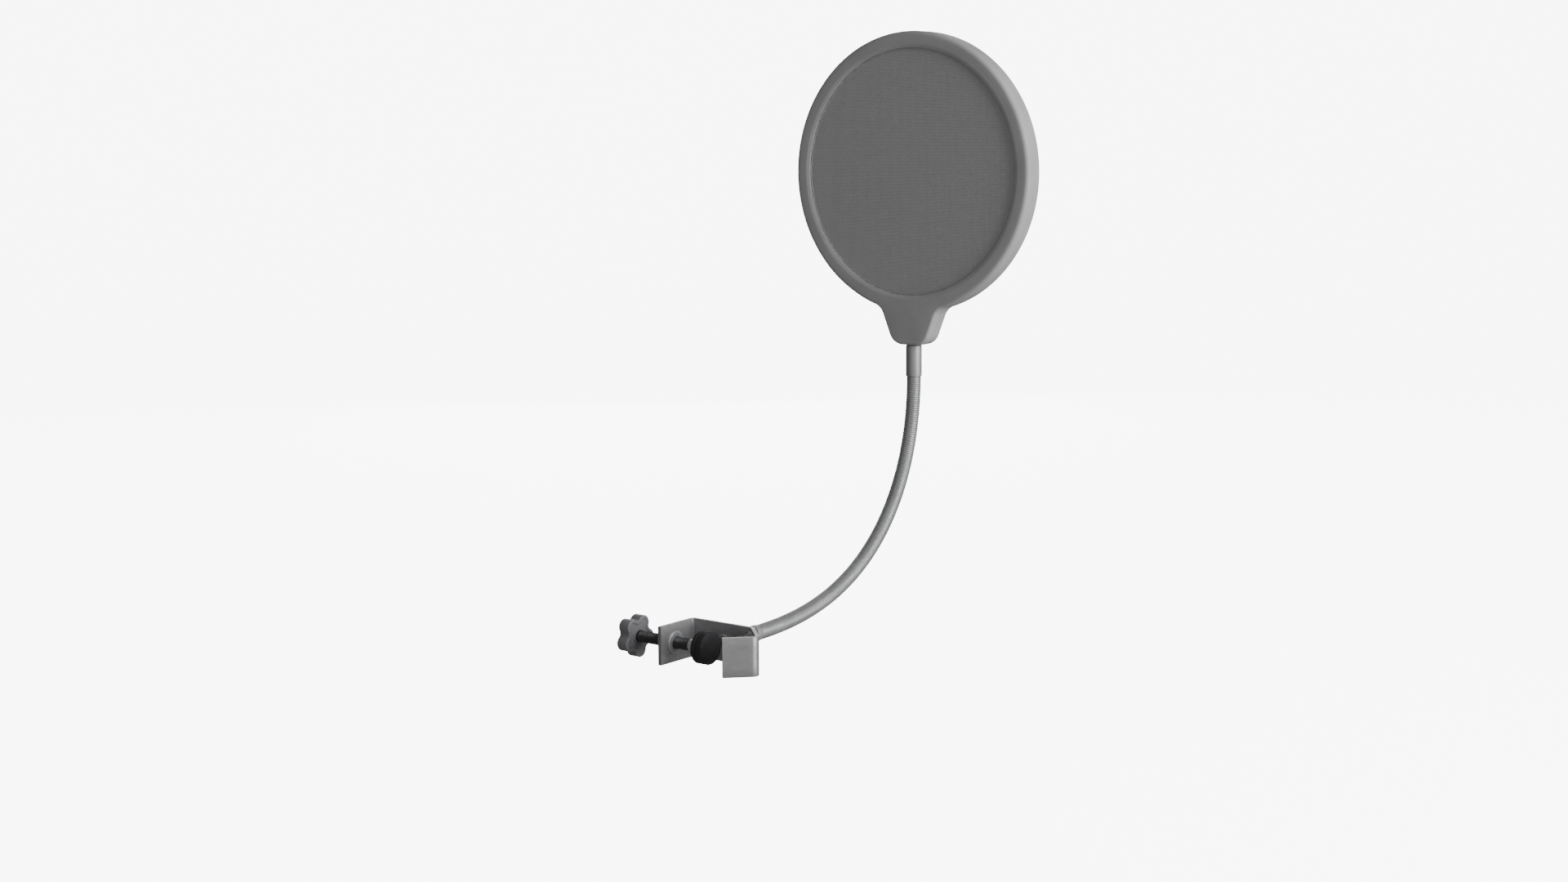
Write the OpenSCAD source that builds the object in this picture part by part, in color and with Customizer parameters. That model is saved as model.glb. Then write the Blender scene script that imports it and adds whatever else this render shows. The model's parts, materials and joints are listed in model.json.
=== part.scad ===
// Clamp-on pop filter: two-layer nylon screen on a steel gooseneck, with a screw clamp.
// Millimetres. Origin: pole axis at mid-height of the bracket. +X along the clamp screw
// towards the V jaw, +Y from the pole towards the screen, +Z up. The screen faces -Y.

/* [Screen head] */
// outside diameter of the frame
frame_d = 155; // [120:1:180]
// diameter of the clear screen
opening_d = 135.4; // [100:0.2:160]
// thickness of the two closed frame halves
frame_t = 12; // [8:0.5:18]
// depth of the cloth behind each face
screen_inset = 1.8; // [1:0.1:3]
// foot below the centre of the screen
foot_drop = 96; // [80:1:120]
// half width of the foot where its sides begin
foot_half = 15.7; // [12:0.1:20]
// rounding of the frame's front edge
front_edge = 2.5; // [1:0.1:3]
// rounding of the frame's rear edge
rear_edge = 1.2; // [0.8:0.1:3]
// slope of the foot's sides
foot_slope = 22; // [10:1:35]

/* [Gooseneck] */
// outside diameter of the tube
goose_d = 7.8; // [6:0.1:12]
// distance between the pivots of neighbouring links
link_len = 21.5; // [15:0.1:25]
// extra turn at the pivot where the curve is tightest, in degrees
swell = 13; // [0:0.1:20]
// number of the tightest pivot, counted from 0 at the clamp
swell_at = 5.9; // [2:0.1:8]
// how many pivots the tight part spreads over
swell_width = 6.3; // [2:0.1:8]
// diameter of the rounded link ends
ball_d = 8; // [7:0.1:10]
// free gap in the joints between links
link_gap = 0.3; // [0.2:0.05:0.5]

/* [Clamp] */
// diameter of the pole it is made for
pole_d = 20; // [16:1:25]
// height of the bracket
bracket_h = 20; // [14:1:30]
// thickness of the bracket's strip
strip_t = 2; // [1.5:0.1:3]
// inner face of the screw jaw, from the pole axis
jaw_x = 34; // [28:0.5:45]
// inner face of the web, from the pole axis
web_y = 14.2; // [12:0.1:20]
// inner faces of the V jaw, from the pole axis
vee_dist = 12.4; // [11:0.1:16]
// gooseneck plane, from the pole axis
stem_x = 14; // [10:0.5:20]
// diameter of the clamp screw
screw_d = 6; // [5:1:8]
// diameter over the knob's lobes
knob_d = 22.4; // [18:0.2:30]
// diameter of the rubber pad
pad_d = 16.8; // [12:0.2:20]

/* [Hidden] */
$fn = 96;

// gooseneck path in the plane X = -stem_x: eleven straight links and ten pivots,
// level at the clamp and upright at the top
goose_y0 = 40.5;
pivot_y0 = 49.7;
function swell_k(k) = exp(-pow((k - swell_at) / swell_width, 2));
function swell_sum(k) = k < 0 ? 0 : swell_sum(k - 1) + swell_k(k);
base_turn = (90 - swell * swell_sum(9)) / 10;
function turn_k(k) = base_turn + swell * swell_k(k);
// slope of link i, and the pivot at its lower end
function dir(i) = i == 0 ? 0 : dir(i - 1) + turn_k(i - 1);
function piv_y(i) = i == 1 ? pivot_y0 : piv_y(i - 1) + link_len * cos(dir(i - 1));
function piv_z(i) = i == 1 ? 0 : piv_z(i - 1) + link_len * sin(dir(i - 1));
head_y = piv_y(10);
stem_z = piv_z(10) + 10.3;
ferrule_len = 17.4;
foot_z = stem_z + ferrule_len + 0.3;
head_z = foot_z + foot_drop;

frame_r = frame_d / 2;
open_r = opening_d / 2;
half_t = frame_t / 2;
wall_r = frame_r - 3.3;
cloth_z = half_t - screen_inset;

// foot outline: side lines, concave fillets into the ring, round lower corners
side_n = [cos(foot_slope), -sin(foot_slope)];
side_u = [sin(foot_slope), cos(foot_slope)];
side_p = [foot_half, -(foot_drop - 12.3)];
fillet_r = 9;
corner_r = 9;

// bracket strip: flat lengths joined by bends to the right, each [length, bend, inside radius]
vee_in = vee_dist * sqrt(2);
bend_r = 2;
web_bend = bend_r * tan(22.5);
flats = [[10.2 + web_y, 90, 1], [jaw_x - 1 + vee_in - web_y - web_bend, 45, bend_r],
  [web_y * sqrt(2) - web_bend - bend_r, 90, bend_r], [14.6, 0, 0]];
function right_of(h) = [sin(h), -cos(h)];
// start of flat i as [x, y, heading], and its far end
function flat_at(i) = i == 0 ? [-jaw_x, -11.2, 90] :
  let (h = flat_at(i - 1)[2] - flats[i - 1][1])
  concat(bend_c(i - 1) - flats[i - 1][2] * right_of(h), [h]);
function flat_end(i) = let (s = flat_at(i)) [s[0], s[1]] + flats[i][0] * [cos(s[2]), sin(s[2])];
function bend_c(i) = flat_end(i) + flats[i][2] * right_of(flat_at(i)[2]);
// one face of the strip, o outside the inner face
function strip_side(o) = concat(
  [[-jaw_x, -11.2] - o * right_of(90)],
  [for (i = [0:2]) for (j = [0:6])
    bend_c(i) - (flats[i][2] + o) * right_of(flat_at(i)[2] - flats[i][1] * j / 6)],
  [flat_end(3) - o * right_of(flat_at(3)[2])]);
pad_face = -(pole_d / 2 + 0.3);
nut_y = web_y + strip_t + 1;

// ---------- shared shapes ----------

module along_x(x) translate([x, 0, 0]) rotate([0, 90, 0]) children();
module along_y(x, y) translate([x, y, 0]) rotate([-90, 0, 0]) children();
// head frame: +Z of the children points out of the front face
module head() translate([-stem_x, head_y, head_z]) rotate([90, 0, 0]) children();
module stem() translate([-stem_x, head_y, stem_z]) children();

function add(a, b, k) = [a[0] + k * b[0], a[1] + k * b[1]];
// centre of the fillet circle: fillet_r + e from the side line, and that far outside the ring
function fillet_c(e) =
  let (q = add(side_p, side_n, fillet_r), d = frame_r + fillet_r,
       b = q * side_u, c = q * q - d * d)
  add(q, side_u, -b - sqrt(b * b - c));
function corner_c() =
  let (q = add(side_p, side_n, -corner_r), y = -(foot_drop - corner_r))
  add(q, side_u, (y - q[1]) / side_u[1]);

// foot outline, drawn in by e
module foot_outline(e) {
  f = fillet_c(e);
  k = corner_c();
  ring_t = f * ((frame_r - e) / (frame_r + fillet_r));
  side_t = add(f, side_n, -(fillet_r + e));
  low_t = add(k, side_n, corner_r - e);
  difference() {
    union() {
      polygon([[0, -60], ring_t, side_t, low_t, [k[0], -(foot_drop - e)], [-k[0], -(foot_drop - e)],
        [-low_t[0], low_t[1]], [-side_t[0], side_t[1]], [-ring_t[0], ring_t[1]]]);
      for (s = [-1, 1]) translate([s * k[0], k[1]]) circle(r = corner_r - e);
    }
    for (s = [-1, 1]) translate([s * f[0], f[1]]) circle(r = fillet_r + e);
  }
}

// one frame half, lying on its parting plane; edge is how far its outer edge is rounded
module half_ring(groove, edge) {
  rotate_extrude() polygon([[open_r, cloth_z], [open_r, half_t - 0.8], [open_r + 0.8, half_t],
    [frame_r - edge, half_t], [frame_r - edge / 2, half_t - 0.134 * edge],
    [frame_r - 0.134 * edge, half_t - edge / 2], [frame_r, half_t - edge], [frame_r, 0],
    [wall_r + groove, 0], [wall_r + groove, 1.1], [wall_r, 1.1], [wall_r, cloth_z]]);
  difference() {
    union() {
      linear_extrude(height = half_t - edge / 2) foot_outline(0);
      translate([0, 0, half_t - edge / 2]) linear_extrude(height = edge / 2) foot_outline(0.4 * edge);
    }
    translate([0, 0, -1]) cylinder(r = frame_r - 2, h = frame_t);
  }
}

// seat of the stem bush and pocket of the circlip, drawn round the stem axis
module stem_seat() rotate([90, 0, 0]) {
  translate([0, 0, foot_drop - 16.5]) cylinder(r = 4.5, h = 17);
  translate([0, 0, foot_drop - 19.2]) cylinder(r = 5.2, h = 3);
}

module foot_screw_holes() for (s = [-1, 1]) translate([s * 10, -(foot_drop - 13.5), 0]) children();

module foot_screw(s) color([0.16, 0.16, 0.17]) head() translate([s * 10, -(foot_drop - 13.5), 0])
  difference() {
    union() {
      translate([0, 0, -half_t + 0.4]) cylinder(r = 2.6, h = 1.6);
      translate([0, 0, -half_t + 1.5]) cylinder(r = 1.24, h = 8);
    }
    translate([0, 0, -half_t]) cylinder(r = 1.2, h = 1.3, $fn = 6);
  }

module cloth(z) color([0.32, 0.32, 0.33]) head() translate([0, 0, z]) cylinder(r = wall_r - 0.6, h = 0.35);

module hoop(z) color([0.45, 0.45, 0.46]) head() translate([0, 0, z]) difference() {
  cylinder(r = wall_r - 0.3, h = cloth_z - 1.45);
  translate([0, 0, -1]) cylinder(r = open_r + 1.3, h = 10);
}

// link i, drawn from its lower pivot along its own axis: ball below, socket above
module link(i) color([0.72, 0.73, 0.75]) translate([-stem_x, piv_y(i), piv_z(i)])
  rotate([dir(i) - 90, 0, 0]) difference() {
    union() {
      cylinder(d = goose_d, h = link_len);
      sphere(d = ball_d);
    }
    translate([0, 0, link_len]) sphere(d = ball_d + 2 * link_gap);
    translate([0, 0, -6]) cylinder(r = 1.5, h = link_len + 8);
  }

module hex_nut(af, h, bore) difference() {
  cylinder(d = af / cos(30), h = h, $fn = 6);
  translate([0, 0, -1]) cylinder(r = bore, h = h + 2);
}

// ---------- screen head ----------

module front_frame() color([0.55, 0.55, 0.56]) head() difference() {
  half_ring(1.1, front_edge);
  stem_seat();
  foot_screw_holes() translate([0, 0, -1]) cylinder(r = 1.26, h = 5);
}

module rear_frame() color([0.55, 0.55, 0.56]) head() difference() {
  union() {
    mirror([0, 0, 1]) half_ring(0, rear_edge);
    translate([0, 0, -0.5]) difference() {
      cylinder(r = wall_r + 1, h = 1.5);
      translate([0, 0, -1]) cylinder(r = wall_r, h = 4);
    }
  }
  stem_seat();
  foot_screw_holes() {
    translate([0, 0, -half_t - 1]) cylinder(r = 1.6, h = 10);
    translate([0, 0, -half_t - 1]) cylinder(r = 2.8, h = 3.1);
  }
}

module front_screen() cloth(cloth_z - 0.4);
module rear_screen() cloth(-cloth_z + 0.05);
module front_hoop() hoop(1);
module rear_hoop() hoop(-1 - (cloth_z - 1.45));

module spacer_ring() color([0.45, 0.45, 0.46]) head() translate([0, 0, -0.95]) difference() {
  cylinder(r = wall_r - 0.3, h = 1.9);
  translate([0, 0, -1]) cylinder(r = open_r + 1.3, h = 4);
}

module foot_screw_l() foot_screw(-1);
module foot_screw_r() foot_screw(1);

module stem_bush() color([0.75, 0.62, 0.35]) stem() translate([0, 0, foot_z - stem_z + 0.3]) difference() {
  cylinder(r = 4.46, h = 15.9);
  translate([0, 0, -1]) cylinder(r = 2.55, h = 18);
}

// ---------- gooseneck ----------

module upper_ferrule() color([0.78, 0.79, 0.8]) stem() difference() {
  union() {
    rotate_extrude() polygon([[0, 0], [4.2, 0], [4.5, 0.3], [4.5, ferrule_len - 0.4],
      [4.1, ferrule_len], [0, ferrule_len]]);
    cylinder(r = 2.5, h = ferrule_len + 18.5);
  }
  translate([0, 0, -1]) cylinder(r = goose_d / 2 + 0.05, h = 9.2);
  translate([0, 0, ferrule_len + 16.8]) difference() {
    cylinder(r = 4, h = 0.9);
    translate([0, 0, -1]) cylinder(r = 2, h = 3);
  }
}

module stem_circlip() color([0.3, 0.3, 0.32]) stem() translate([0, 0, ferrule_len + 16.85]) difference() {
  cylinder(r = 4.1, h = 0.8);
  translate([0, 0, -1]) cylinder(r = 2.05, h = 3);
  translate([-1, 0, -1]) cube([2, 6, 3]);
}

module goose_01() color([0.72, 0.73, 0.75]) along_y(-stem_x, goose_y0 - 2) difference() {
  cylinder(d = goose_d, h = pivot_y0 - goose_y0 + 2);
  translate([0, 0, pivot_y0 - goose_y0 + 2]) sphere(d = ball_d + 2 * link_gap);
  translate([0, 0, -1]) cylinder(r = 1.5, h = 20);
}

module goose_02() link(1);
module goose_03() link(2);
module goose_04() link(3);
module goose_05() link(4);
module goose_06() link(5);
module goose_07() link(6);
module goose_08() link(7);
module goose_09() link(8);
module goose_10() link(9);

module goose_11() color([0.72, 0.73, 0.75]) translate([-stem_x, head_y, piv_z(10)]) difference() {
  union() {
    cylinder(d = goose_d, h = 18.3);
    sphere(d = ball_d);
  }
  translate([0, 0, -6]) cylinder(r = 1.5, h = 26);
}

module lower_ferrule() color([0.78, 0.79, 0.8]) along_y(-stem_x, goose_y0) difference() {
  union() {
    translate([0, 0, -3]) cylinder(r = 4.3, h = 3.6);
    translate([0, 0, -15]) cylinder(r = 2.5, h = 13);
  }
  translate([0, 0, -2.05]) cylinder(r = goose_d / 2 + 0.05, h = 4);
}

// ---------- clamp ----------

module jam_nut() color([0.2, 0.2, 0.21]) along_y(-stem_x, nut_y + 11.35) hex_nut(9, 3.6, 2.55);
module coupling_nut() color([0.7, 0.71, 0.73]) along_y(-stem_x, nut_y) hex_nut(10, 11.3, 2.55);

module lock_washer() color([0.6, 0.6, 0.62]) along_y(-stem_x, web_y + strip_t) difference() {
  cylinder(r = 4.6, h = 1);
  translate([0, 0, -1]) cylinder(r = 2.7, h = 3);
  translate([0, -0.4, -1]) cube([6, 0.8, 3]);
}

module mount_screw() color([0.6, 0.6, 0.62]) along_y(-stem_x, web_y) difference() {
  union() {
    translate([0, 0, -2.6]) cylinder(r = 4.4, h = 2.6);
    cylinder(r = 2.5, h = 11);
  }
  translate([0, 0, -4]) cylinder(r = 1.73, h = 3, $fn = 6);
}

module clamp_bracket() color([0.5, 0.5, 0.52]) difference() {
  translate([0, 0, -bracket_h / 2]) linear_extrude(height = bracket_h)
    polygon(concat(strip_side(strip_t), [for (i = [22:-1:0]) strip_side(0)[i]]));
  along_x(-jaw_x - 5) cylinder(r = 4.5, h = 10);
  along_y(-stem_x, web_y - 4) cylinder(r = 2.6, h = 10);
}

module threaded_insert() color([0.66, 0.66, 0.68]) along_x(-jaw_x) difference() {
  union() {
    cylinder(r = 5.9, h = 0.8);
    translate([0, 0, -strip_t - 1]) cylinder(r = 4.47, h = strip_t + 1.5);
  }
  translate([0, 0, -9]) cylinder(r = screw_d / 2 + 0.05, h = 12);
}

module jaw_saddle() color([0.1, 0.1, 0.1]) difference() {
  tip = (vee_in - 0.06) / (cos(56) + sin(56));
  translate([0, 0, 0.5 - bracket_h / 2]) linear_extrude(height = bracket_h - 1)
    polygon([[0, 0], [tip * cos(56), -tip * sin(56)], [vee_in - 1.5, -1.4], [vee_in - 1.5, 1.4],
      [tip * cos(56), tip * sin(56)]]);
  translate([0, 0, -bracket_h]) cylinder(d = pole_d, h = 2 * bracket_h);
}

module clamp_screw() color([0.2, 0.2, 0.21]) {
  along_x(-57.8) cylinder(d = screw_d, h = 33.3);
  along_x(-63) cylinder(r = screw_d / 2 - 0.1, h = 6);
  along_x(-25) cylinder(r = 1.4, h = 4);
  translate([-20.9, 0, 0]) sphere(r = 2.3);
}

module knob() color([0.25, 0.25, 0.26]) along_x(-64.8) difference() {
  lobe_r = 4;
  union() {
    cylinder(r = knob_d / 2 - 3, h = 7);
    for (k = [0:4]) rotate([0, 0, 72 * k + 7]) translate([knob_d / 2 - lobe_r, 0, 0])
      cylinder(r = lobe_r, h = 7);
  }
  translate([0, 0, 1.7]) cylinder(r = screw_d / 2 - 0.05, h = 6);
}

module swivel_collar() color([0.82, 0.82, 0.83]) difference() {
  along_x(-24.2) rotate_extrude() polygon([[0, 0], [2.8, 0], [3.2, 0.4], [3.2, 5.7], [1.48, 5.7], [1.48, 6.5], [0, 6.5]]);
  translate([-20.9, 0, 0]) sphere(r = 2.6);
  along_x(-26) cylinder(r = 1.75, h = 4.5);
}

module pad_cup() color([0.8, 0.8, 0.81]) along_x(-18.5) difference() {
  cylinder(r = 7.5, h = 1);
  translate([0, 0, -1]) cylinder(r = 1.5, h = 3);
}

module pad_rubber() color([0.07, 0.07, 0.07]) along_x(-17.5) rotate_extrude()
  polygon([[0, 0], [pad_d / 2 - 0.4, 0], [pad_d / 2, 0.4], [pad_d / 2, 17.5 + pad_face - 0.8],
    [pad_d / 2 - 0.8, 17.5 + pad_face], [0, 17.5 + pad_face]]);

front_frame();
rear_frame();
front_screen();
rear_screen();
front_hoop();
rear_hoop();
spacer_ring();
foot_screw_l();
foot_screw_r();
stem_bush();
upper_ferrule();
stem_circlip();
goose_01();
goose_02();
goose_03();
goose_04();
goose_05();
goose_06();
goose_07();
goose_08();
goose_09();
goose_10();
goose_11();
lower_ferrule();
jam_nut();
coupling_nut();
lock_washer();
mount_screw();
clamp_bracket();
threaded_insert();
jaw_saddle();
clamp_screw();
knob();
swivel_collar();
pad_cup();
pad_rubber();
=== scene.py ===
"""Pop filter: the visual model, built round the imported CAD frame. In metres, in the part's own frame."""

import json
import math

import bmesh
import bpy
from mathutils import Matrix, Vector


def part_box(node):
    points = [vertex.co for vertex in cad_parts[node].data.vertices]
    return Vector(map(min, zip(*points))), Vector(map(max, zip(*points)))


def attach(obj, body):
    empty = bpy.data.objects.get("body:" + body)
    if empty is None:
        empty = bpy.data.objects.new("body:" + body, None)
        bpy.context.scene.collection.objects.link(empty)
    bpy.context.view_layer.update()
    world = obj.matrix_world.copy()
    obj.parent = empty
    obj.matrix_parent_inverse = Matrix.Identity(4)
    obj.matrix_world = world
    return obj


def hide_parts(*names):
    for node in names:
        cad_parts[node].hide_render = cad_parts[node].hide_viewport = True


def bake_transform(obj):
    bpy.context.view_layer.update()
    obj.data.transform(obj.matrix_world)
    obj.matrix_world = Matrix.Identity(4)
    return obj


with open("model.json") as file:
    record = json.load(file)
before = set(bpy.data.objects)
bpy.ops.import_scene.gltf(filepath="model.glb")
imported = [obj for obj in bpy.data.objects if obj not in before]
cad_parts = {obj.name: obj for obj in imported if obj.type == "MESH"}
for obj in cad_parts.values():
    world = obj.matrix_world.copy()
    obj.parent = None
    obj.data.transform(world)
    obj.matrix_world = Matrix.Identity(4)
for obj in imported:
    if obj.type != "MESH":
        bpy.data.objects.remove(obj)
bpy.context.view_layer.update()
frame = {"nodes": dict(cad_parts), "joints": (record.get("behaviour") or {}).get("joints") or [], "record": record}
TAU = 2 * math.pi
MM = 0.001

# ---------- places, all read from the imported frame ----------

joints = {j["name"]: j for j in frame["joints"]}
pivots = [Vector(joints["bend_%02d" % k]["pos_m"]) for k in range(1, 11)]
STEM_X = pivots[0].x
head_lo, head_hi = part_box("front_frame")
rear_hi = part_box("rear_frame")[1]
RING_R = (head_hi.x - head_lo.x) / 2
HEAD = Vector((STEM_X, (head_lo.y + rear_hi.y) / 2, head_hi.z - RING_R))
HALF_T = (rear_hi.y - head_lo.y) / 2
FOOT_DROP = HEAD.z - head_lo.z
cloth_lo, cloth_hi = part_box("front_screen")
CLOTH_R = (cloth_hi.x - cloth_lo.x) / 2
CLOTH_Z = HEAD.y - cloth_lo.y
LINK = (pivots[1] - pivots[0]).length

AT_HEAD = Matrix.Translation(HEAD) @ Matrix.Rotation(math.pi / 2, 4, "X")


def along_x(x):
    """Turns a piece's z axis to +X, on the clamp screw's line."""
    return Matrix.Translation((x, 0, 0)) @ Matrix.Rotation(math.pi / 2, 4, "Y")


def along_y(y):
    """Turns a piece's z axis to +Y, on the neck's line."""
    return Matrix.Translation((STEM_X, y, 0)) @ Matrix.Rotation(-math.pi / 2, 4, "X")


# ---------- materials ----------


class Nodes:
    """A node tree with short calls for what the finishes below share."""

    def __init__(self, name, color, rough, metal=0.0):
        self.mat = bpy.data.materials.new(name)
        self.mat.use_nodes = True
        self.tree = self.mat.node_tree
        self.shader = self.tree.nodes["Principled BSDF"]
        self.out = self.tree.nodes["Material Output"]
        self.shader.inputs["Base Color"].default_value = (*color, 1)
        self.shader.inputs["Roughness"].default_value = rough
        self.shader.inputs["Metallic"].default_value = metal
        self.coord = self.add("ShaderNodeTexCoord").outputs["Object"]
        self.height = None

    def add(self, kind, **settings):
        node = self.tree.nodes.new(kind)
        for key, value in settings.items():
            setattr(node, key, value)
        return node

    def link(self, a, b):
        self.tree.links.new(a, b)

    def math(self, op, a, b=None, clamp=False):
        node = self.add("ShaderNodeMath", operation=op, use_clamp=clamp)
        for socket, value in zip(node.inputs, (a, b)):
            if value is None:
                continue
            if isinstance(value, (int, float)):
                socket.default_value = value
            else:
                self.link(value, socket)
        return node.outputs[0]

    def noise(self, scale, detail=3.0, rough=0.5, stretch=None):
        source = self.coord
        if stretch:
            m = self.add("ShaderNodeMapping")
            m.inputs["Scale"].default_value = stretch
            self.link(source, m.inputs["Vector"])
            source = m.outputs[0]
        n = self.add("ShaderNodeTexNoise")
        n.inputs["Scale"].default_value = scale
        n.inputs["Detail"].default_value = detail
        n.inputs["Roughness"].default_value = rough
        self.link(source, n.inputs["Vector"])
        return n.outputs["Fac"]

    def speckle(self, scale):
        v = self.add("ShaderNodeTexVoronoi")
        v.inputs["Scale"].default_value = scale
        self.link(self.coord, v.inputs["Vector"])
        return v.outputs["Distance"]

    def remap(self, fac, lo, hi, from_lo=0.3, from_hi=0.7):
        r = self.add("ShaderNodeMapRange")
        r.inputs["From Min"].default_value = from_lo
        r.inputs["From Max"].default_value = from_hi
        r.inputs["To Min"].default_value = lo
        r.inputs["To Max"].default_value = hi
        self.link(fac, r.inputs["Value"])
        return r.outputs["Result"]

    def mix(self, fac, a, b):
        m = self.add("ShaderNodeMix", data_type="RGBA")
        self.link(fac, m.inputs[0])
        # sockets 6 and 7 are the colours A and B
        for socket, value in ((m.inputs[6], a), (m.inputs[7], b)):
            if isinstance(value, tuple):
                socket.default_value = (*value, 1)
            else:
                self.link(value, socket)
        return m.outputs[2]

    def color(self, socket):
        self.link(socket, self.shader.inputs["Base Color"])

    def rough(self, socket):
        self.link(socket, self.shader.inputs["Roughness"])

    def bump(self, height, distance, strength=1.0):
        b = self.add("ShaderNodeBump")
        b.inputs["Strength"].default_value = strength
        b.inputs["Distance"].default_value = distance
        self.link(height, b.inputs["Height"])
        if self.height:
            self.link(self.height, b.inputs["Normal"])
        self.height = b.outputs[0]
        self.link(self.height, self.shader.inputs["Normal"])

    def edge_wear(self, width, gain=6.0):
        """1 along edges, 0 on flats."""
        bevel = self.add("ShaderNodeBevel", samples=4)
        bevel.inputs["Radius"].default_value = width
        geometry = self.add("ShaderNodeNewGeometry")
        dot = self.add("ShaderNodeVectorMath", operation="DOT_PRODUCT")
        self.link(bevel.outputs[0], dot.inputs[0])
        self.link(geometry.outputs["Normal"], dot.inputs[1])
        off = self.math("SUBTRACT", 1.0, dot.outputs["Value"])
        return self.math("MULTIPLY", off, gain, clamp=True)


def shade(color, k):
    return tuple(min(1.0, c * k) for c in color)


def moulded(name, color, rough, grain=0.00002):
    """Moulded plastic: fine spark-eroded grain, faint flow marks, edges rubbed paler in places."""
    n = Nodes(name, color, rough)
    flow = n.mix(n.remap(n.noise(38, 4), 0, 1), shade(color, 0.92), shade(color, 1.07))
    worn = n.math("MULTIPLY", n.edge_wear(0.0006), n.remap(n.noise(150, 4), 0, 0.5, 0.45, 0.6))
    n.color(n.mix(worn, flow, shade(color, 1.35)))
    n.rough(n.remap(n.noise(420, 3), rough - 0.08, rough + 0.08))
    n.bump(n.speckle(2600), grain, 0.6)
    n.bump(n.noise(900, 4), grain * 2, 0.5)
    n.shader.inputs["Specular IOR Level"].default_value = 0.42
    return n


def rolled_steel(name, color, rough, stretch, grain=0.000012):
    """Bent strip: rolling lines along one direction, a little mottled plating."""
    n = Nodes(name, color, rough, 0.55)
    lines = n.noise(260, 5, 0.6, stretch)
    patch = n.noise(45, 3)
    n.color(n.mix(n.remap(patch, 0, 1), shade(color, 0.86), shade(color, 1.08)))
    n.rough(n.remap(lines, rough - 0.12, rough + 0.14))
    n.bump(lines, grain, 0.8)
    n.bump(n.noise(1500, 2), grain, 0.4)
    return n


def turned(name, color, rough, metal, axis_scale, grain=0.00001):
    """Turned and plated metal: fine tool rings round the axis."""
    n = Nodes(name, color, rough, metal)
    tool_rings = n.noise(320, 4, 0.6, axis_scale)
    n.color(n.mix(n.remap(n.noise(70, 3), 0, 1), shade(color, 0.9), shade(color, 1.06)))
    n.rough(n.remap(tool_rings, max(0.05, rough - 0.1), rough + 0.12))
    n.bump(tool_rings, grain, 0.7)
    return n


def rubber(name, color):
    n = Nodes(name, color, 0.72)
    dust = n.noise(60, 5)
    n.color(n.mix(n.remap(dust, 0, 1, 0.4, 0.75), color, shade(color, 1.9)))
    n.rough(n.remap(n.noise(300, 3), 0.62, 0.86))
    n.bump(n.speckle(1700), 0.00003, 0.7)
    n.shader.inputs["Specular IOR Level"].default_value = 0.35
    return n


def nylon(name, color, pitch, turn=0.0):
    """Plain-woven nylon screen: two thread sets over and under each other, with holes, and painted shade and
    highlight on the weave.
    """
    n = Nodes(name, color, 0.58)
    xyz = n.add("ShaderNodeSeparateXYZ")
    spin = n.add("ShaderNodeMapping")
    spin.inputs["Rotation"].default_value = (0, math.radians(turn), 0)
    n.link(n.coord, spin.inputs["Vector"])
    n.link(spin.outputs[0], xyz.inputs[0])
    warp = n.math("MULTIPLY", xyz.outputs["X"], math.pi / pitch)
    weft = n.math("MULTIPLY", xyz.outputs["Z"], math.pi / pitch)
    sw, cw = n.math("SINE", warp), n.math("COSINE", warp)
    sf, cf = n.math("SINE", weft), n.math("COSINE", weft)
    aw, af = n.math("ABSOLUTE", sw), n.math("ABSOLUTE", sf)
    # each thread is a rounded ridge, and which one is on top swaps from square to square
    over = n.math("MULTIPLY", n.math("SIGN", n.math("MULTIPLY", cw, cf)), 0.25)
    lift_w = n.math("ADD", aw, n.math("MULTIPLY", over, af))
    lift_f = n.math("SUBTRACT", af, n.math("MULTIPLY", over, aw))
    height = n.math("MAXIMUM", lift_w, lift_f)
    n.bump(height, 0.00007, 0.9)
    fibre = n.noise(2400, 3)
    # colour follows the weave's height, darker in the dips and paler on the crests: painted shade and highlight,
    # mixed with random fibre tone
    weave_shade_and_fibre = n.math("ADD", n.math("MULTIPLY", height, 0.8), n.math("MULTIPLY", fibre, 0.25))
    n.color(n.mix(n.remap(weave_shade_and_fibre, 0, 1, 0.25, 1.1), shade(color, 0.72), shade(color, 1.14)))
    n.rough(n.remap(fibre, 0.5, 0.68))
    n.shader.inputs["Sheen Weight"].default_value = 0.15
    n.shader.inputs["Sheen Roughness"].default_value = 0.5
    hole = n.math("LESS_THAN", n.math("MAXIMUM", aw, af), 0.42)
    clear = n.add("ShaderNodeBsdfTransparent")
    mixed = n.add("ShaderNodeMixShader")
    n.link(hole, mixed.inputs[0])
    n.link(n.shader.outputs[0], mixed.inputs[1])
    n.link(clear.outputs[0], mixed.inputs[2])
    n.link(mixed.outputs[0], n.out.inputs["Surface"])
    return n


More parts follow.
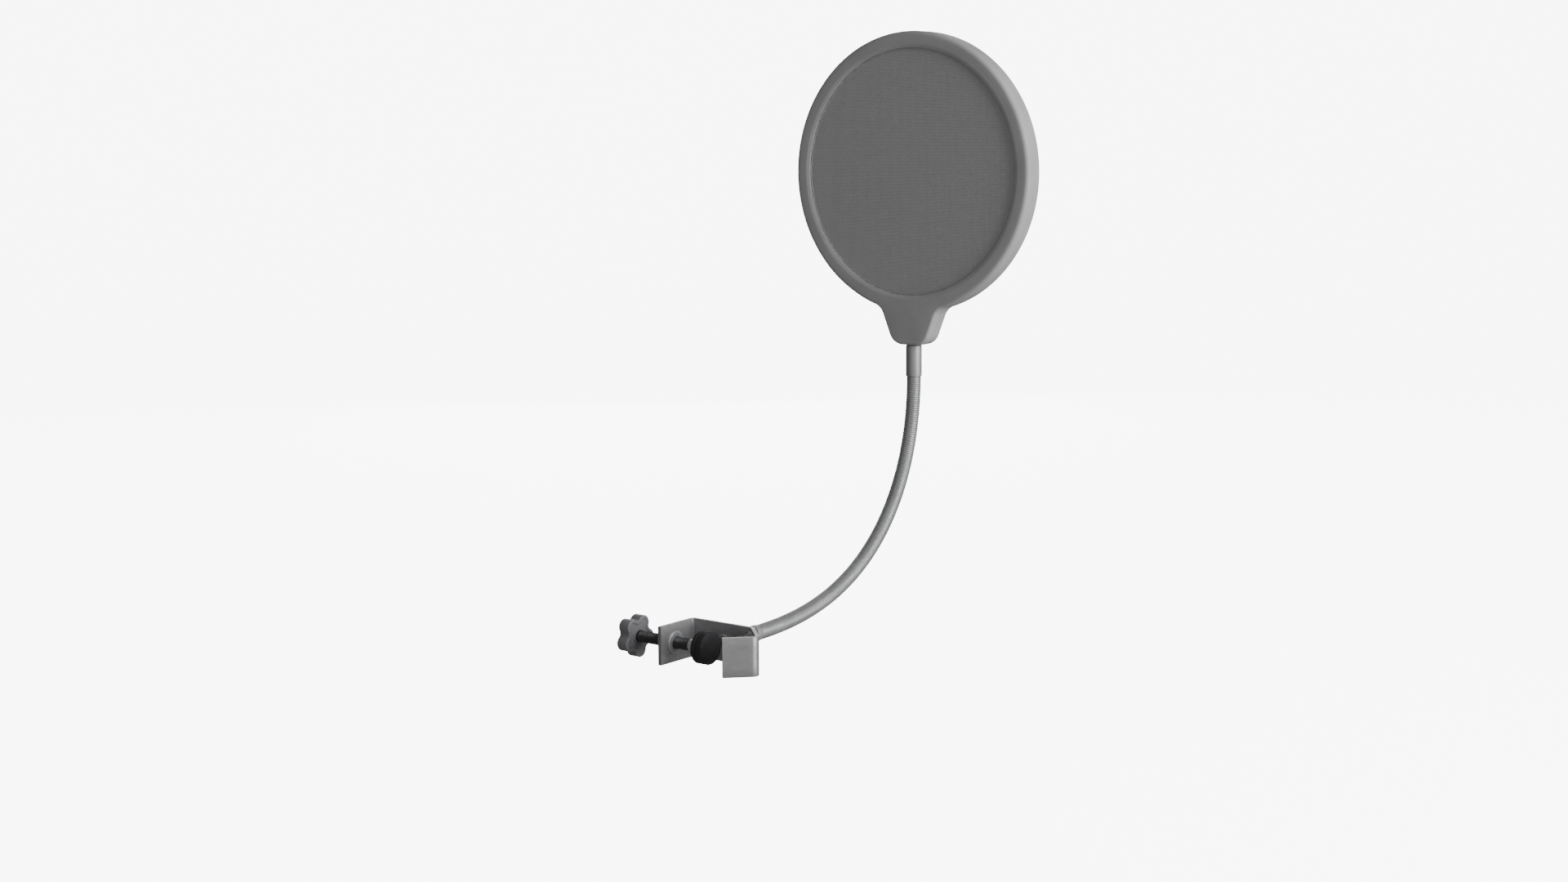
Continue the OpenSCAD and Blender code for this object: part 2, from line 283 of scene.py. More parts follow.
base = {m["slot"]: tuple(m["base_color"]) for m in frame["record"]["materials"]}
M = {
    "frame": moulded("frame_plastic", base["frame"], 0.5),
    "cloth": nylon("nylon_screen_front", base["cloth"], 0.0006),
    "cloth_rear": nylon("nylon_screen_rear", base["cloth"], 0.0006, 32),
    "hoop": moulded("hoop_plastic", base["hoop"], 0.55),
    "knob": moulded("knob_plastic", base["knob"], 0.46, 0.00003),
    "dark_steel": turned("black_oxide", base["dark_steel"], 0.4, 0.6, (6, 1, 1)),
    "brass": turned("brass_bush", base["brass"], 0.3, 1.0, (1, 1, 8)),
    "ferrule": turned("ferrule_nickel", shade(base["ferrule"], 0.75), 0.48, 0.45, (1, 1, 10)),
    "neck": turned("neck_wire", base["neck"], 0.4, 0.5, (1, 1, 1)),
    "zinc": turned("zinc_plate", base["zinc"], 0.38, 0.75, (1, 8, 1)),
    "zinc_x": turned("zinc_plate_x", base["zinc"], 0.38, 0.75, (8, 1, 1)),
    "bracket": rolled_steel("bracket_steel", shade(base["bracket"], 0.86), 0.42, (1, 1, 14)),
    "pad_black": rubber("pad_rubber_black", base["pad_black"]),
}

# ---------- mesh helpers ----------


def make(name, verts, faces, matrix=None, sharp=38):
    me = bpy.data.meshes.new(name)
    if matrix is not None:
        verts = [matrix @ Vector(v) for v in verts]
    me.from_pydata([tuple(v) for v in verts], [], faces)
    bm = bmesh.new()
    bm.from_mesh(me)
    bmesh.ops.remove_doubles(bm, verts=bm.verts, dist=1e-7)
    bmesh.ops.recalc_face_normals(bm, faces=bm.faces)
    bm.to_mesh(me)
    bm.free()
    smooth(me, sharp)
    o = bpy.data.objects.new(name, me)
    bpy.context.scene.collection.objects.link(o)
    return o


def smooth(me, sharp=38):
    me.polygons.foreach_set("use_smooth", [True] * len(me.polygons))
    me.set_sharp_from_angle(angle=math.radians(sharp))
    me.update()


def loft(loops, closed=False):
    """Quads between loops of equal length. A loop of one point is a pole."""
    verts, faces, index = [], [], []
    for loop in loops:
        index.append(list(range(len(verts), len(verts) + len(loop))))
        verts += loop
    pairs = list(zip(index, index[1:])) + ([(index[-1], index[0])] if closed else [])
    for a, b in pairs:
        count = max(len(a), len(b))
        if count == 1:
            continue
        for i in range(count):
            j = (i + 1) % count
            if len(a) == 1:
                faces.append((a[0], b[i], b[j]))
            elif len(b) == 1:
                faces.append((a[i], a[j], b[0]))
            else:
                faces.append((a[i], a[j], b[j], b[i]))
    return verts, faces


def circle(r, z, n):
    if r < 1e-9:
        return [(0.0, 0.0, z)]
    return [(r * math.cos(TAU * i / n), r * math.sin(TAU * i / n), z) for i in range(n)]


def rounded(points, steps=5, closed=False):
    """A polyline of (x, y, radius) with each corner turned into an arc."""
    out, n = [], len(points)
    for i, (x, y, f) in enumerate(points):
        if f <= 0 or (not closed and i in (0, n - 1)):
            out.append((x, y))
            continue
        p = Vector((x, y))
        a = (Vector(points[i - 1][:2]) - p).normalized()
        b = (Vector(points[(i + 1) % n][:2]) - p).normalized()
        half = a.angle(b) / 2
        c = p + (a + b).normalized() * (f / math.sin(half))
        s, e = p + a * (f / math.tan(half)) - c, p + b * (f / math.tan(half)) - c
        total = math.pi - 2 * half
        for k in range(steps + 1):
            w = k / steps
            v = (s * math.sin((1 - w) * total) + e * math.sin(w * total)) / math.sin(total)
            out.append(tuple(c + v))
    return out


def lathe(profile, n=72, closed=False):
    """profile is (r, z) points, in millimetres."""
    return loft([circle(r * MM, z * MM, n) for r, z in profile], closed)


def cut(o, *cutters):
    """Takes each cutter (verts, faces, matrix) out of o, and leaves a plain mesh."""
    for i, (verts, faces, matrix) in enumerate(cutters):
        c = make("cutter%d" % i, verts, faces, matrix)
        mod = o.modifiers.new("cut", "BOOLEAN")
        mod.operation, mod.solver, mod.object = "DIFFERENCE", "EXACT", c
    graph = bpy.context.evaluated_depsgraph_get()
    me = bpy.data.meshes.new_from_object(o.evaluated_get(graph))
    for mod in list(o.modifiers):
        c = mod.object
        o.modifiers.remove(mod)
        bpy.data.objects.remove(c)
    old, o.data = o.data, me
    bpy.data.meshes.remove(old)
    smooth(me)
    return o


def finish(o, body, slot, *nodes, material=None):
    o.data.materials.clear()
    o.data.materials.append((material or M[slot]).mat)
    if body:
        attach(o, body)
    if nodes:
        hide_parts(*nodes)


def thread_loops(r, depth, pitch, z0, z1, n=48, per=8, run_out=0.8):
    """Rings of a helical V thread, in millimetres, fading out at both ends."""
    count = max(2, int((z1 - z0) / pitch * per))
    loops = []
    for i in range(count + 1):
        z = z0 + (z1 - z0) * i / count
        fade = min(1.0, (z - z0) / run_out, (z1 - z) / run_out)
        loop = []
        for j in range(n):
            u = (z / pitch - j / n) % 1.0
            v = min(1.0, max(0.0, (abs(2 * u - 1) - 0.1) / 0.78))
            rr = r - depth * (1 - v) - depth * 0.75 * v * (1 - max(0.0, fade))
            loop.append((rr * MM * math.cos(TAU * j / n), rr * MM * math.sin(TAU * j / n), z * MM))
        loops.append(loop)
    return loops


def rings(points, n):
    return [circle(r * MM, z * MM, n) for r, z in points]


def drill(r, z0, z1, n, place):
    """A round cutter for cut()."""
    return (*lathe([(0, z0), (r, z0), (r, z1), (0, z1)], n), place)


def hex_at(angle, flat):
    """Radius of a hexagon at an angle. flat is half its width across flats."""
    k = (angle + math.pi / 6) % (math.pi / 3) - math.pi / 6
    return flat / math.cos(k)


def hex_loop(flat, z, n):
    loop = []
    for i in range(n):
        a = TAU * i / n
        r = hex_at(a, flat)
        loop.append((r * MM * math.cos(a), r * MM * math.sin(a), z * MM))
    return loop


def hex_nut(flat, h, bore, n=96, lean=30):
    """Hex nut with the usual chamfer arcs on both faces and a countersunk bore."""
    t = math.tan(math.radians(lean))
    face = flat * 0.95
    loops = [rings([(bore, h * 0.5)], n)[0]]

    def side(z, sign, k):
        out = []
        for i in range(n):
            a = TAU * i / n
            r = hex_at(a, flat - k)
            drop = max(0.0, r - face) * t
            out.append((r * MM * math.cos(a), r * MM * math.sin(a), (z - sign * (drop + k * 0.5)) * MM))
        return out

    top = rings([(bore, h - 0.5), (bore + 0.45, h - 0.04), (bore + 0.55, h), (face - 0.05, h)], n)
    low = rings([(face - 0.05, 0), (bore + 0.55, 0), (bore + 0.45, 0.04), (bore, 0.5)], n)
    return loft(loops + top + [side(h, 1, 0.0), side(0, -1, 0.0)] + low, closed=True)


# ---------- screen head, in millimetres from its centre ----------

front_edge, rear_edge = 2.5, 1.2  # rounding of the outer edges
edge_steps = 6
foot_half, foot_level = 15.7, 12.3  # half the foot's width, this far above its sole
foot_slope, fillet_r, corner_r = math.radians(22), 9.0, 9.0
ring_mm, drop_mm, t_mm = RING_R / MM, FOOT_DROP / MM, HALF_T / MM
open_mm = 67.7
wall_mm = ring_mm - 3.3  # inside of the outer wall
cloth_mm = CLOTH_Z / MM + 0.05  # just clear of the cloth
seam_in, seam_up, seam_gap = 0.22, 0.24, 0.012  # the chamfer along the parting line


def arc(centre, r, start, end, steps):
    """Points of an arc, after its first one."""
    turns = [start + (end - start) * i / steps for i in range(1, steps + 1)]
    return [centre + r * Vector((math.cos(a), math.sin(a))) for a in turns]


def outline(e, counts=(300, 14, 10, 12, 9)):
    """Ring and foot as one loop, drawn in by e. Every e gives the same number of points."""
    ring_n, fillet_n, side_n, corner_n, sole_n = counts
    outward = Vector((math.cos(foot_slope), -math.sin(foot_slope)))
    upward = Vector((math.sin(foot_slope), math.cos(foot_slope)))
    side = Vector((foot_half, foot_level - drop_mm))
    # the fillet touches the ring and the foot's side
    beside = side + outward * fillet_r
    reach = ring_mm + fillet_r
    b = beside.dot(upward)
    fillet = beside + upward * (-b - math.sqrt(b * b - (beside.dot(beside) - reach * reach)))
    # the corner touches the side and the sole
    inside = side - outward * corner_r
    corner = inside + upward * ((corner_r - drop_mm - inside.y) / upward.y)

    start = math.atan2(-fillet.y, -fillet.x)
    turn = (math.atan2(-outward.y, -outward.x) - start + math.pi) % TAU - math.pi
    half = arc(fillet, fillet_r + e, start, start + turn, fillet_n)  # down to the middle of the sole
    side_top, side_low = half[-1], corner + outward * (corner_r - e)
    half += [side_top.lerp(side_low, i / side_n) for i in range(1, side_n + 1)]
    half += arc(corner, corner_r - e, -foot_slope, -math.pi / 2, corner_n)
    sole = half[-1].copy()
    half += [sole.lerp(Vector((0.0, sole.y)), i / sole_n) for i in range(1, sole_n + 1)]

    ring_end = fillet * ((ring_mm - e) / reach)
    a0 = math.atan2(ring_end.y, ring_end.x)
    a1 = math.pi - a0
    ring = [Vector((math.cos(a), math.sin(a))) * (ring_mm - e)
            for a in (a0 + (a1 - a0) * i / ring_n for i in range(ring_n + 1))]
    left = [Vector((-v.x, v.y)) for v in half]
    return ring + left + list(reversed(half[:-1]))


flat_loop = outline(0)
angles = [math.atan2(v.y, v.x) for v in flat_loop]


def edge_r(i, edge):
    """The edge rounding at point i: full on the ring, and smaller on the foot."""
    fade_from, fade_over, foot_loss = 0.86 * ring_mm, 9.0, 0.35
    s = min(1.0, max(0.0, (-flat_loop[i].y - fade_from) / fade_over))
    return edge * (1 - foot_loss * s * s * (3 - 2 * s))


def out_loop(share, edge):
    """Outer loop at a share of the edge rounding's quarter turn."""
    turn = math.sin(share * math.pi / 2)
    drawn, loop = {}, []
    for i in range(len(flat_loop)):
        r = edge_r(i, edge)
        e = r * (1 - math.cos(share * math.pi / 2)) if share else 0.0
        key = round(e, 3)
        if key not in drawn:
            drawn[key] = outline(key)
        v = drawn[key][i]
        loop.append((v.x * MM, v.y * MM, (t_mm - r + r * turn) * MM))
    return loop


def in_loop(r, z):
    return [(r * MM * math.cos(a), r * MM * math.sin(a), z * MM) for a in angles]


def half_frame(edge):
    """One half: parting line, side, rounded edge, flat face, slope, and a fine groove against the cloth."""
    loops = [[(v.x * MM, v.y * MM, seam_gap * MM) for v in outline(seam_in)],
             [(v.x * MM, v.y * MM, seam_up * MM) for v in flat_loop]]
    loops += [out_loop(step / edge_steps, edge) for step in range(edge_steps + 1)]
    inner = rounded([
        (wall_mm - 1.2, t_mm, 0),
        (open_mm + 2.7, t_mm, 1.8),
        (open_mm + 0.75, cloth_mm + 1.15, 0.3),
        (open_mm + 0.65, cloth_mm + 0.1, 0.1),
        (open_mm + 0.2, cloth_mm + 0.1, 0.05),
        (open_mm + 0.1, cloth_mm + 0.4, 0.05),
        (open_mm, cloth_mm + 0.35, 0.04),
        (open_mm, cloth_mm, 0)], 5)
    loops += [in_loop(r, z) for r, z in inner]
    loops += [in_loop(wall_mm, cloth_mm), in_loop(wall_mm, seam_gap)]
    return loft(loops, closed=True)


foot_up = Matrix.Translation((HEAD.x, HEAD.y, head_lo.z))
stem_bore = drill(4.5, -1, 16.5, 48, foot_up)
clip_room = drill(5.2, 16.2, 19.2, 48, foot_up)
front = cut(make("frame_front", *half_frame(front_edge), AT_HEAD), stem_bore, clip_room)
finish(front, "head", "frame", "front_frame")

foot_screws = ("foot_screw_l", "foot_screw_r")
screw_x = [(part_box(s)[0].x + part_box(s)[1].x) / 2 for s in foot_screws]
screw_z = (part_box("foot_screw_l")[0].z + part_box("foot_screw_l")[1].z) / 2
recess = [(0, -1), (3.05, -1), (3.05, 0.05), (2.8, 0.3), (2.8, 3.1), (1.6, 3.1), (1.6, 7), (0, 7)]


def facing_back(x, y):
    return Matrix.Translation((x, y, screw_z)) @ Matrix.Rotation(math.pi / 2, 4, "X")


recesses = [(*lathe(recess, 48), facing_back(x, rear_hi.y)) for x in screw_x]
rear_verts, rear_faces = half_frame(rear_edge)
rear_verts = [(x, y, -z) for x, y, z in rear_verts]
rear = cut(make("frame_rear", rear_verts, rear_faces, AT_HEAD), stem_bore, clip_room, *recesses)
finish(rear, "head", "frame", "rear_frame")


def disc(z_front, z_back):
    """A thin round sheet, drawn drum-tight."""
    shares = [0.12, 0.3, 0.5, 0.7, 0.85, 0.93, 0.965, 0.985, 1.0]
    loops = [[(0, 0, z_front)]]
    loops += [circle(CLOTH_R * k, z_front, 144) for k in shares]
    loops += [circle(CLOTH_R * k, z_back, 144) for k in reversed(shares)]
    return loft(loops + [[(0, 0, z_back)]])


for side, finish_name in (("front", "cloth"), ("rear", "cloth_rear")):
    lo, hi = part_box(side + "_screen")
    o = make("nylon_" + side, *disc(HEAD.y - lo.y, HEAD.y - hi.y), AT_HEAD)
    finish(o, "head", "cloth", side + "_screen", material=M[finish_name])

for s, x in zip(foot_screws, screw_x):
    n = 60
    socket = [hex_loop(1.15, z, n) for z in (1.25, 0.22)]
    cap = rounded([(1.55, 0.05, 0), (1.75, 0, 0.1), (2.6, 0, 0.3), (2.6, 1.6, 0.1), (1.3, 1.6, 0.2)], 4)
    shank = thread_loops(1.24, 0.16, 0.5, 1.9, 8.6, n, 6)
    loops = [[(0, 0, 1.5 * MM)]] + socket + rings(cap, n) + shank + rings([(0.7, 9.1), (0, 9.1)], n)
    o = make(s + "_detail", *loft(loops), facing_back(x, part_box(s)[1].y))
    finish(o, "head", "dark_steel", s)

# ---------- gooseneck ----------

lo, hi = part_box("upper_ferrule")
sleeve_r, sleeve_bore, spigot_r, clip_r = 4.5, 3.98, 2.5, 2.1
sleeve_top = (head_lo.z - lo.z) / MM - 0.3  # just short of the foot
ferrule = rounded([
    (sleeve_bore, 8.1, 0), (sleeve_bore, 0.35, 0.1), (4.12, 0, 0.15), (sleeve_r, 0, 0.35),
    (sleeve_r, sleeve_top - 0.4, 0.5), (4.1, sleeve_top, 0.2), (spigot_r, sleeve_top, 0.2),
    (spigot_r, 34.2, 0), (clip_r, 34.2, 0), (clip_r, 35.1, 0), (spigot_r, 35.1, 0),
    (spigot_r, 35.6, 0.2), (clip_r, 35.9, 0.1), (0, 35.9, 0)], 5)
o = make("ferrule_upper", *lathe([(0, 8.1)] + ferrule), Matrix.Translation((HEAD.x, HEAD.y, lo.z)))
finish(o, "link_11", "ferrule", "upper_ferrule")

y0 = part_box("lower_ferrule")[0].y / MM
stud = thread_loops(2.5, 0.42, 0.8, y0, 36.4, 48, 8)
cup = rounded([
    (2.3, 36.6, 0), (2.3, 37.5, 0.2), (3.9, 37.5, 0.3), (4.3, 37.9, 0.3), (4.3, 41.1, 0.35),
    (3.97, 41.1, 0.1), (3.97, 38.6, 0), (0, 38.6, 0)], 5)
loops = [[(0, 0, y0 * MM)]] + rings([(1.9, y0)], 48) + stud + rings(cup, 48)
finish(make("ferrule_lower", *loft(loops), along_y(0)), "clamp", "ferrule", "lower_ferrule")

ups = [Vector((0, 1, 0))] + [(b - a).normalized() for a, b in zip(pivots, pivots[1:])] + [Vector((0, 0, 1))]
across = Vector((1, 0, 0))
goose_lo, goose_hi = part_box("goose_11")
neck_r = (goose_hi.x - goose_lo.x) / 2 / MM
rib_pitch, rib_depth, rib_steps, around = 1.25, 0.4, 10, 48
tuck = 1.6 * MM  # how far the last piece runs on into the upper ferrule


def rib(u):
    """Round wire with a narrow V between turns: 1 at the crest, 0 in the valley."""
    x = abs(2 * u - 1)
    return math.sqrt(max(0.0, 1 - (1 - x) ** 2.6)) if x < 1 else 1.0


travelled = 0.0
for k in range(1, 11):
    # an arc through half a link on each side of the pivot
    p, a, b = pivots[k - 1], ups[k - 1], ups[k]
    turn = a.angle(b)
    radius = LINK / 2 / math.tan(turn / 2)
    start, end = p - a * (LINK / 2), p + b * (LINK / 2)
    up = across.cross(a)
    centre = start + up * radius
    arc_length = radius * turn
    length = arc_length + (tuck if k == 10 else 0.0)
    steps = round(length / MM / rib_pitch * rib_steps)
    loops = []
    for i in range(steps + 1):
        s = length * i / steps
        q = min(s, arc_length) / radius
        t = a * math.cos(q) + up * math.sin(q)
        out = up * math.cos(q) - a * math.sin(q)
        c = centre - out * radius + t * max(0.0, s - arc_length)
        loop = []
        for j in range(around):
            th = TAU * j / around
            phase = ((travelled + s) / MM / rib_pitch - j / around) % 1.0
            r = (neck_r - rib_depth * (1 - rib(phase))) * MM
            loop.append(tuple(c + (across * math.cos(th) + out * math.sin(th)) * r))
        loops.append(loop)
    travelled += arc_length
    o = make("neck_%02d" % k, *loft(loops), sharp=60)
    finish(o, None, "neck", "goose_%02d" % k, *(["goose_11"] if k == 10 else []))
    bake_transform(o)

# ---------- bracket ----------

br_lo, br_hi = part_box("clamp_bracket")
half_h = br_hi.z / MM
strip, bend, tight_bend = 2.0, 2.0, 1.0  # thickness, and inner radii
bend_steps = 12
jaw_x = -br_lo.x / MM - strip
web_y = br_hi.y / MM - strip
jaw_reach, lip_length = 10.2, 14.6  # of the screw jaw past the screw, and of the V jaw's outer leg
vee_at = 12.4 * math.sqrt(2)  # the V's inner corner: its flats are 12.4 from the pole's axis
web_bend = bend * math.tan(math.radians(22.5))
# each flat's length, and the angle and radius of the bend after it
flats = [
    (jaw_reach + web_y, 90, tight_bend),
    (jaw_x - tight_bend + vee_at - web_y - web_bend, 45, bend),
    (web_y * math.sqrt(2) - web_bend - bend, 90, bend),
    (lip_length, 0, 0)]


def heading(degrees):
    return Vector((math.cos(math.radians(degrees)), math.sin(math.radians(degrees))))


def strip_loop(inset):
    """The bent strip seen from above, drawn in by inset on both faces and ends, with true bends."""
    inner, outer = [], []
    pos, h = Vector((-jaw_x, web_y - tight_bend - flats[0][0])), 90.0
    for i, (length, turn, r) in enumerate(flats):
        d = heading(h)
        right = Vector((d.y, -d.x))
        begin = pos + d * (inset if i == 0 else 0)
        stop = pos + d * (length - (inset if i == 3 else 0))
        pieces = 10 if i != 3 else 6
        for s in range(pieces + 1):
            c = begin.lerp(stop, s / pieces)
            inner.append(c - right * inset)
            outer.append(c - right * (strip - inset))
        pos = pos + d * length
        if turn:
            centre = pos + right * r
            for s in range(1, bend_steps):
                away = heading(h - turn * s / bend_steps)
                away = Vector((away.y, -away.x))
                inner.append(centre - away * (r + inset))
                outer.append(centre - away * (r + strip - inset))
            h -= turn
            d = heading(h)
            pos = centre - Vector((d.y, -d.x)) * r
    return inner, outer


def strip_mesh(edge=0.3):
    upper = [(edge, half_h), (edge * 0.3, half_h - edge * 0.3), (0, half_h - edge), (0, half_h * 0.5)]
    rows = []
    for inset, z in [(e, -z) for e, z in upper] + [(0, 0)] + upper[::-1]:
        inner, outer = strip_loop(inset)
        rows.append([(v.x * MM, v.y * MM, z * MM) for v in inner + outer[::-1]])
    verts, faces = loft(rows)
    n, m = len(rows[0]), len(rows[0]) // 2
    for first, flip in ((0, False), ((len(rows) - 1) * n, True)):
        for i in range(m - 1):
            f = (first + i, first + i + 1, first + n - 2 - i, first + n - 1 - i)
            faces.append(f[::-1] if flip else f)
    return verts, faces


insert_hole = drill(4.5, -5, 5, 64, along_x(-jaw_x * MM))
mount_hole = drill(2.6, -4, 6, 48, along_y(web_y * MM))
bracket = cut(make("bracket_strip", *strip_mesh()), insert_hole, mount_hole)
finish(bracket, "clamp", "bracket", "clamp_bracket")

insert = rounded([
    (3.35, 0.8, 0), (4.2, 0.8, 0.1), (5.7, 0.8, 0.3), (5.9, 0.5, 0.2), (5.9, 0, 0.05), (4.47, 0, 0.1),
    (4.47, -strip - 1, 0.35), (3.3, -strip - 1, 0.2), (3.05, -strip - 0.7, 0), (3.05, 0.45, 0)],
    4, closed=True)
o = make("insert_flanged", *lathe(insert, 72, closed=True), along_x(-jaw_x * MM))
finish(o, "clamp", "zinc", "threaded_insert", material=M["zinc_x"])

for name, node, half_width, slot in (("nut_coupling", "coupling_nut", 5.0, "zinc"),
                                     ("nut_jam", "jam_nut", 4.5, "dark_steel")):
    lo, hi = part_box(node)
    nut = hex_nut(half_width, (hi.y - lo.y) / MM, 2.55)
    finish(make(name, *nut, along_y(lo.y)), "clamp", slot, node)

# ---------- clamp screw and knob ----------

screw_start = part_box("clamp_screw")[0].x / MM
thread_from, thread_to = -57.8, -24.5
ball_c, ball_r, socket_r = -20.9, 2.3, 2.6


def ball_arc(r, start, sweep, steps):
    """(r, z) points round the screw's ball, from an angle in degrees."""
    turns = [math.radians(start + sweep * i / steps) for i in range(steps + 1)]
    return [(r * math.sin(a), ball_c - r * math.cos(a)) for a in turns]


ball = ball_arc(ball_r, 38, 142, 12)
loops = [[(0, 0, screw_start * MM)]]
loops += rings([(2.4, screw_start), (2.9, screw_start + 0.4), (2.9, thread_from - 0.05)], 48)
loops += thread_loops(3.0, 0.56, 1.0, thread_from, thread_to, 48, 10)
loops += rings([(1.4, thread_to), (1.4, ball_c - ball_r + 0.5)] + ball[:-1] + [(0, ball[-1][1])], 48)
finish(make("screw_threaded", *loft(loops), along_x(0)), "screw", "dark_steel", "clamp_screw")

# five lobes with rounded valleys and edges, and a shallow hollow towards the clamp
kn_lo, kn_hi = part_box("knob")
lobes, lobe_r, first_lobe = 5, 4.0, math.radians(7)
lobe_at = (-kn_lo.z / MM - lobe_r) / math.cos(first_lobe)
core_r = lobe_at + lobe_r - 3.0
half_gap = math.pi / lobes
valley = ((lobe_at**2 + core_r**2 - 2 * lobe_at * core_r * math.cos(half_gap) - lobe_r**2)
          / (2 * lobe_r - 2 * core_r + 2 * lobe_at * math.cos(half_gap)))
valley_at = core_r + valley


def knob_points(e, segs=16):
    """Lobed outline drawn in by e: lobe arcs joined by hollow arcs."""
    pts = []
    c = Vector((math.cos(half_gap), math.sin(half_gap))) * valley_at
    lobe = Vector((lobe_at, 0))
    after = Vector((math.cos(2 * half_gap), math.sin(2 * half_gap))) * lobe_at
    touch = math.atan2(*(c - lobe).yx)
    s, t = math.atan2(*(lobe - c).yx), math.atan2(*(after - c).yx)
    hollow = (t - s + math.pi) % TAU - math.pi
    for k in range(lobes):
        spin = Matrix.Rotation(first_lobe + k * 2 * half_gap, 2)
        for i in range(segs):
            a = -touch + 2 * touch * i / segs
            pts.append(spin @ (lobe + Vector((math.cos(a), math.sin(a))) * (lobe_r - e)))
        for i in range(segs):
            a = s + hollow * i / segs
            pts.append(spin @ (c + Vector((math.cos(a), math.sin(a))) * (valley + e)))
    return pts


hollow_in = 2.8
knob_angles = [math.atan2(v.y, v.x) for v in knob_points(hollow_in)]


def knob_loop(e, z):
    return [(v.x * MM, v.y * MM, z * MM) for v in knob_points(e)]


def knob_circle(r, z):
    return [(r * MM * math.cos(a), r * MM * math.sin(a), z * MM) for a in knob_angles]


thick = (kn_hi.x - kn_lo.x) / MM
floor_at = thick - 0.5
rim = rounded([
    (hollow_in, 0.0, 0), (0.0, 0.0, 1.1), (0.0, thick, 0.6), (1.5, thick, 0.4), (2.1, floor_at, 0.5),
    (hollow_in, floor_at, 0)], 5)
back_dimple = [(2.6, 0.35), (3.2, 0.25), (3.5, 0.0), (4.4, 0.0)]
boss = [
    (4.5, floor_at), (4.3, floor_at + 0.05), (4.2, thick - 0.1), (4.1, thick), (3.25, thick),
    (3.0, thick - 0.25), (2.95, 1.75)]
loops = [[(0, 0, 0.35 * MM)]] + [knob_circle(r, z) for r, z in back_dimple]
loops += [knob_loop(e, z) for e, z in rim]
loops += [knob_circle(r, z) for r, z in boss] + [[(0, 0, 1.75 * MM)]]
finish(make("knob_lobed", *loft(loops), along_x(kn_lo.x), sharp=32), "screw", "knob", "knob")

# ---------- pad: collar snapped over the ball, cup and rubber ----------

cx0, cx1 = (v.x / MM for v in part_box("swivel_collar"))
collar_r, rivet_r = 3.2, 1.48
inside = ball_arc(socket_r, 180, -138, 10)
collar = rounded([
    (1.75, cx0, 0), (2.6, cx0, 0.2), (collar_r, cx0 + 0.6, 0.4), (collar_r, cx0 + 3.9, 0.3),
    (3.0, cx0 + 4.2, 0.2), (3.0, cx0 + 4.6, 0.2), (collar_r, cx0 + 4.9, 0.2), (collar_r, cx1 - 0.8, 0.1),
    (rivet_r, cx1 - 0.8, 0), (rivet_r, cx1, 0), (0, cx1, 0)], 4)
o = make("collar_swivel", *loft(rings([(0, inside[0][1])] + inside[1:] + collar, 64)), along_x(0))
finish(o, "pad", "zinc", "swivel_collar", material=M["zinc_x"])

cup_lo, cup_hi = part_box("pad_cup")
c0, c1, cr = cup_lo.x / MM, cup_hi.x / MM, cup_hi.z / MM
cup = rounded([
    (1.5, c0, 0), (3.9, c0, 0.15), (cr - 0.9, c0, 0.3), (cr, c0 + 0.35, 0.3), (cr, c1, 0), (1.5, c1, 0)],
    4, closed=True)
o = make("cup_pressed", *lathe(cup, 96, closed=True), along_x(0))
finish(o, "pad", "zinc", "pad_cup", material=M["zinc_x"])

pr_lo, pr_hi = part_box("pad_rubber")
p0, p1, pr = pr_lo.x / MM, pr_hi.x / MM, pr_hi.z / MM
waist = pr - 0.35
pad = rounded([
    (0, p0, 0), (pr - 0.3, p0, 0.25), (pr, p0 + 0.3, 0.2), (pr, p0 + 2.1, 0.15), (waist, p0 + 2.5, 0.15),
    (waist, p0 + 2.9, 0.15), (pr, p0 + 3.3, 0.15), (pr, p1 - 0.9, 0.8), (pr - 1.0, p1, 0.5), (0, p1, 0)], 5)
finish(make("pad_moulded", *lathe(pad, 96), along_x(0)), "pad", "pad_black", "pad_rubber")

# ---------- nodes that keep their CAD shape, with softened edges (widths in millimetres) ----------

for node, slot, width in (
    ("jaw_saddle", "pad_black", 0.35), ("lock_washer", "zinc", 0.12), ("mount_screw", "zinc", 0.3),
    ("front_hoop", "hoop", 0.2), ("rear_hoop", "hoop", 0.2), ("spacer_ring", "hoop", 0.2),
    ("stem_bush", "brass", 0.15), ("stem_circlip", "dark_steel", 0.1)):
    o = frame["nodes"][node]
    o.data.materials.clear()
    o.data.materials.append(M[slot].mat)
    mod = o.modifiers.new("soft_edges", "BEVEL")
    mod.width, mod.segments, mod.limit_method = width * MM, 3, "ANGLE"
    mod.angle_limit = math.radians(40)

# ---------- backdrop, light, camera ----------

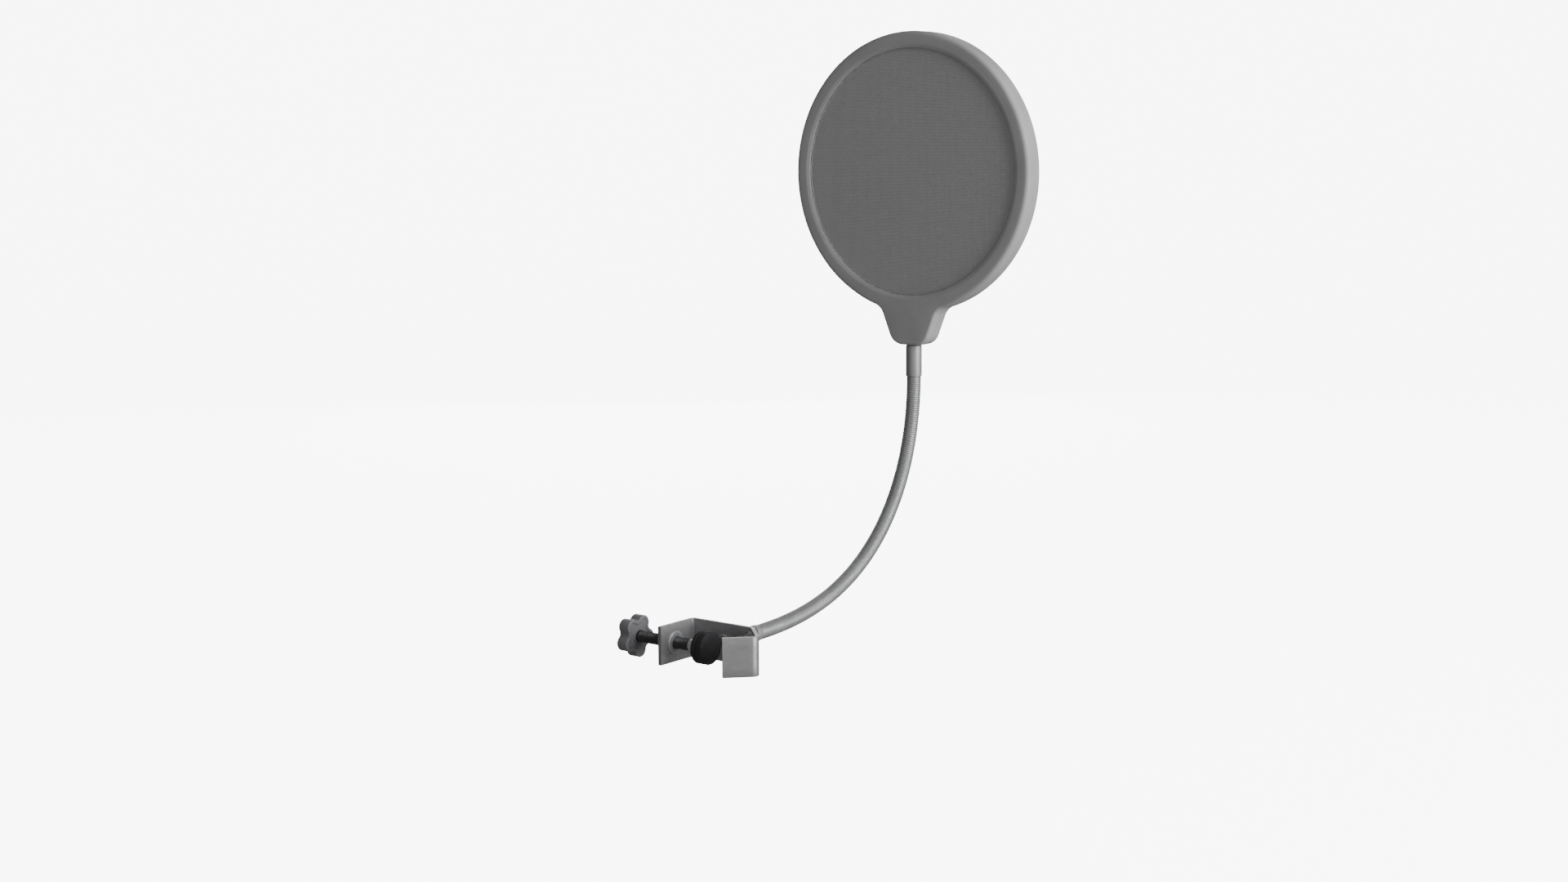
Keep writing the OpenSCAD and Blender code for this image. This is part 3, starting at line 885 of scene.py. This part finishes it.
# pale paper floor that curves up into a round wall, the same from every side
reach, curve_r, wall_top, floor_drop = 2.4, 0.9, 4.0, 0.065
sweep = [(0, 0), (reach / 2, 0), (reach, 0)]
for i in range(1, 17):
    a = math.pi / 2 * i / 16
    sweep.append((reach + curve_r * math.sin(a), curve_r * (1 - math.cos(a))))
sweep.append((reach + curve_r, wall_top))
floor_level = Matrix.Translation((0, 0, br_lo.z - floor_drop))
floor = make("backdrop", *loft([circle(r, z, 128) for r, z in sweep]), floor_level)
paper = Nodes("pale_paper", (0.86, 0.86, 0.85), 0.9)
paper.color(paper.mix(paper.remap(paper.noise(14, 4), 0, 1), (0.84, 0.84, 0.835), (0.88, 0.88, 0.875)))
paper.bump(paper.noise(500, 3), 0.0001, 0.2)
paper.shader.inputs["Emission Color"].default_value = (1, 1, 1, 1)
paper.shader.inputs["Emission Strength"].default_value = 8.0
floor.data.materials.append(paper.mat)
# the pale paper is seen, but neither lights the object nor shades it
floor.visible_diffuse = floor.visible_glossy = floor.visible_transmission = floor.visible_shadow = False

world = bpy.data.worlds.new("studio")
bpy.context.scene.world = world
world.use_nodes = True
world.node_tree.nodes["Background"].inputs["Color"].default_value = (1, 1, 1, 1)
world.node_tree.nodes["Background"].inputs["Strength"].default_value = 0.15


def area(name, place, aim, size, power):
    light = bpy.data.lights.new(name, "AREA")
    light.shape, light.size, light.size_y, light.energy = "RECTANGLE", size[0], size[1], power
    o = bpy.data.objects.new(name, light)
    o.location = place
    o.rotation_euler = (Vector(aim) - Vector(place)).to_track_quat("-Z", "Y").to_euler()
    bpy.context.scene.collection.objects.link(o)


mid = (HEAD.x, HEAD.y * 0.6, HEAD.z * 0.6)
area("key_right", (1.3, 0.2, 0.4), mid, (0.9, 1.5), 30)
area("fill_back", (-1.0, 1.2, 0.5), mid, (1.0, 1.0), 8)
area("fill_front", (0.3, -1.3, 0.5), mid, (1.2, 1.2), 2.6)

cam_data = bpy.data.cameras.new("camera")
cam = bpy.data.objects.new("camera", cam_data)
bpy.context.scene.collection.objects.link(cam)
bpy.context.scene.camera = cam
cam_data.sensor_width = 36
cam_data.lens = 50.925
cam_data.shift_y = -80 / 1920  # pixels over the picture's width
cam_data.clip_start, cam_data.clip_end = 0.01, 20
eye = (0.6804, -0.8398, 0.2544)
az, el, roll = math.radians(37.495), math.radians(-6.169), math.radians(-0.31)
ahead = Vector((-math.sin(az) * math.cos(el), math.cos(az) * math.cos(el), math.sin(el)))
right = Vector((math.cos(az), math.sin(az), 0))
up = right.cross(ahead)
right, up = right * math.cos(roll) + up * math.sin(roll), up * math.cos(roll) - right * math.sin(roll)
cam.matrix_world = Matrix((right, up, -ahead)).transposed().to_4x4()
cam.location = eye
